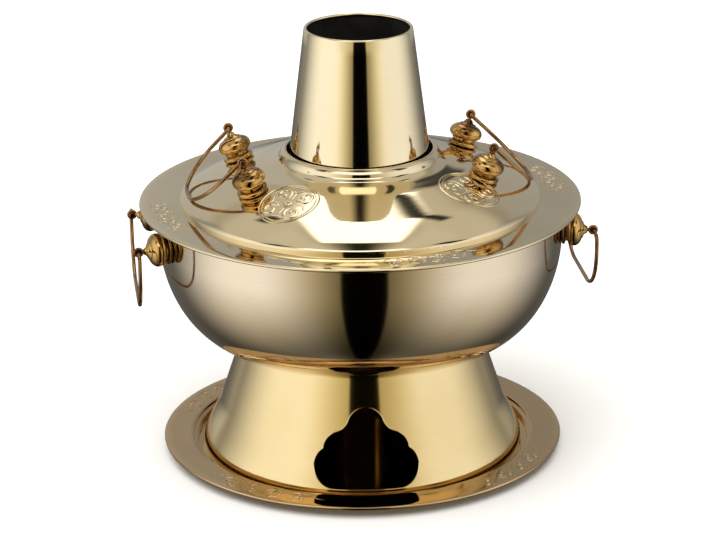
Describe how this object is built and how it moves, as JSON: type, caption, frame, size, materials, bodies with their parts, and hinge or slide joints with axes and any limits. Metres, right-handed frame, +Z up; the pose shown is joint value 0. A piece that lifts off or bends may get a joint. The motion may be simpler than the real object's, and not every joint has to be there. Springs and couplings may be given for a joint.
{
  "type": "chimney hot pot",
  "caption": "Charcoal hot pot: ring bowl round a conical chimney on a flared foot and tray, with a lift-off lid and swinging wire bails.",
  "frame": {"origin": "on the table, on the upright axis of the chimney", "axes": "+Z up along the chimney; the draught vent faces -Y; the handles lie towards +X and -X"},
  "size_m": [0.3856, 0.36, 0.3565],
  "materials": {
    "gold_mirror": "polished, gold-toned steel",
    "gold_satin": "fine circumferential brushing, gold-toned steel",
    "champagne_satin": "satin, champagne-toned steel",
    "champagne_mirror": "mirror polished, champagne-toned steel",
    "bronze_tray": "polished, bronze-toned steel",
    "antique_beads": "polished antique brass",
    "copper_wire": "polished copper-toned wire",
    "plain_steel": "plain bright steel",
    "sooty_iron": "sooty cast iron"
  },
  "bodies": {
    "tray": {"base_tray": "bronze_tray"},
    "pot": {"foot_shell": "gold_mirror", "bowl_shell": "champagne_satin", "rim_ring": "champagne_mirror", "chimney": "gold_satin", "grate_ring": "sooty_iron", "grate": "sooty_iron", "bowl_collars": "antique_beads", "bowl_washers": "plain_steel", "bowl_nuts": "plain_steel", "bowl_eyebolt_right_front": "copper_wire", "bowl_eyebolt_right_rear": "copper_wire", "bowl_eyebolt_left_front": "copper_wire", "bowl_eyebolt_left_rear": "copper_wire", "bowl_bead_right_front": "antique_beads", "bowl_bead_right_rear": "antique_beads", "bowl_bead_left_front": "antique_beads", "bowl_bead_left_rear": "antique_beads", "bowl_onion_right_front": "antique_beads", "bowl_onion_right_rear": "antique_beads", "bowl_onion_left_front": "antique_beads", "bowl_onion_left_rear": "antique_beads"},
    "lid": {"lid_shell": "champagne_mirror", "lid_skirt": "champagne_mirror", "lid_collars": "antique_beads", "lid_washers": "plain_steel", "lid_nuts": "plain_steel", "lid_eyebolt_right_front": "copper_wire", "lid_eyebolt_right_rear": "copper_wire", "lid_eyebolt_left_front": "copper_wire", "lid_eyebolt_left_rear": "copper_wire", "lid_bead_right_front": "antique_beads", "lid_bead_right_rear": "antique_beads", "lid_bead_left_front": "antique_beads", "lid_bead_left_rear": "antique_beads", "lid_onion_right_front": "antique_beads", "lid_onion_right_rear": "antique_beads", "lid_onion_left_front": "antique_beads", "lid_onion_left_rear": "antique_beads"},
    "bowl_bail_right_body": {"bowl_bail_right": "copper_wire"},
    "bowl_bail_left_body": {"bowl_bail_left": "copper_wire"},
    "lid_bail_right_body": {"lid_bail_right": "copper_wire"},
    "lid_bail_left_body": {"lid_bail_left": "copper_wire"}
  },
  "joints": [
    {"name": "pot_lift", "type": "slide", "parent": "tray", "child": "pot", "axis": [0, 0, 1], "range_m": [0, 0.06]},
    {"name": "lid_lift", "type": "slide", "parent": "pot", "child": "lid", "axis": [0, 0, 1], "range_m": [0, 0.155]},
    {"name": "lid_bail_right_swing", "type": "hinge", "parent": "lid", "child": "lid_bail_right_body", "pos_m": [0.10015, 0.01586, 0.26339], "axis": [0.1564, -0.9877, 0], "range_deg": [0, 186]},
    {"name": "bowl_bail_right_swing", "type": "hinge", "parent": "pot", "child": "bowl_bail_right_body", "pos_m": [0.18277, 0.02244, 0.1913], "axis": [0.1219, -0.9925, 0], "range_deg": [-27, 208]},
    {"name": "lid_bail_left_swing", "type": "hinge", "parent": "lid", "child": "lid_bail_left_body", "pos_m": [-0.10015, -0.01586, 0.26339], "axis": [-0.1564, 0.9877, 0], "range_deg": [0, 186]},
    {"name": "bowl_bail_left_swing", "type": "hinge", "parent": "pot", "child": "bowl_bail_left_body", "pos_m": [-0.18277, -0.02244, 0.1913], "axis": [-0.1219, 0.9925, 0], "range_deg": [-27, 208]}
  ]
}
